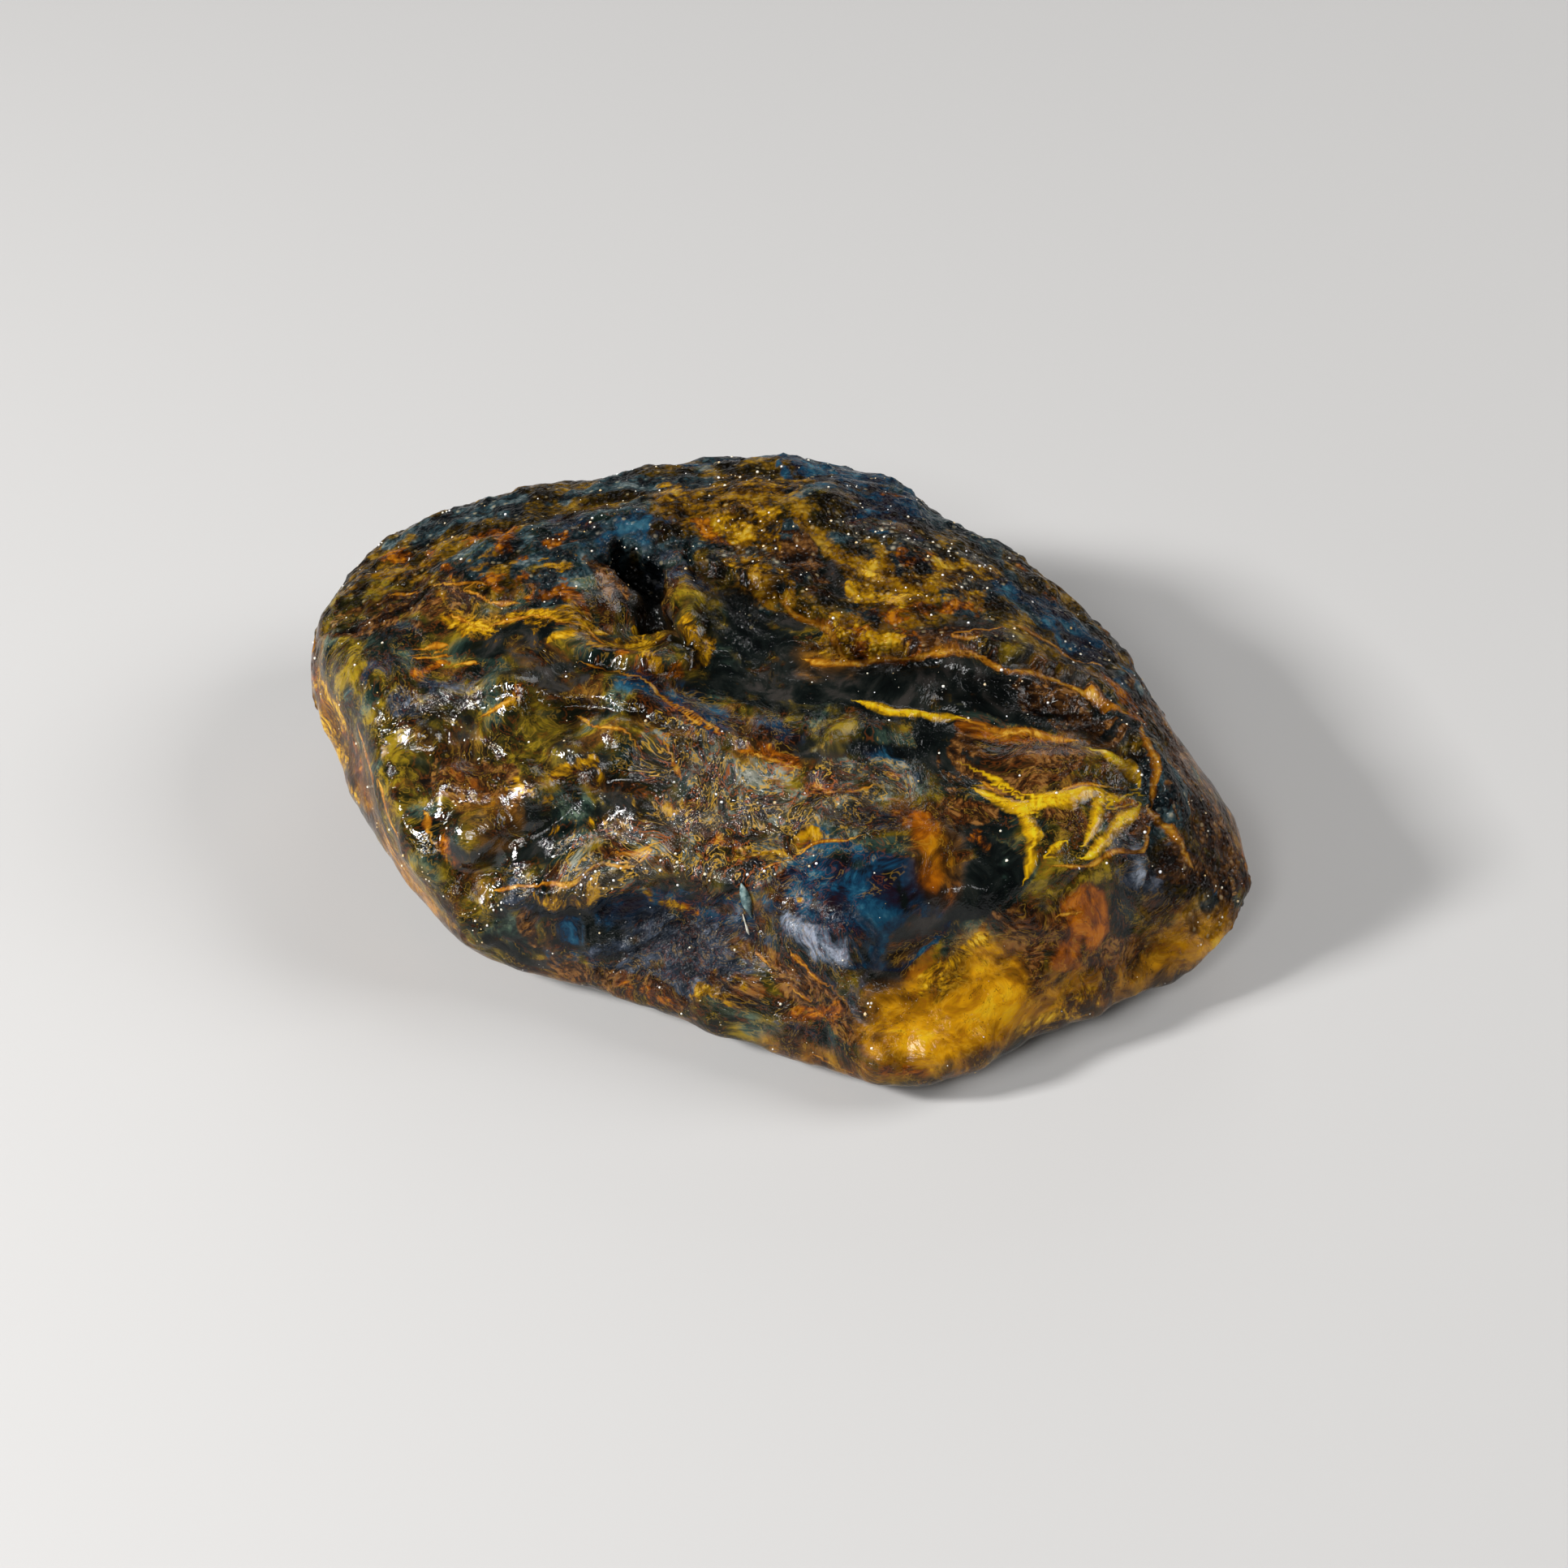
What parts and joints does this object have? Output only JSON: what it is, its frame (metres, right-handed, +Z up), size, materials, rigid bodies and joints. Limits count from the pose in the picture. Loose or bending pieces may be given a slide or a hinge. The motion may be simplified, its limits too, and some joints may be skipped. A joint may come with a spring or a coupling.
{
  "type": "raw amber piece",
  "caption": "Broken raw amber lump with a flattened resting side, a rough skin at the rear, a pit, and smooth broken faces that meet in a prow at the front.",
  "frame": {"origin": "middle of the bounding box's underside, on the flat resting side", "axes": "+X along the length, towards the right end; +Y to the rough-skinned rear; +Z up from the resting side"},
  "size_m": [0.077, 0.06, 0.025],
  "materials": {
    "amber": "glossy, as if wet, with a rougher skin at the rear"
  },
  "bodies": {
    "root": {"amber_piece": "amber"}
  },
  "joints": []
}
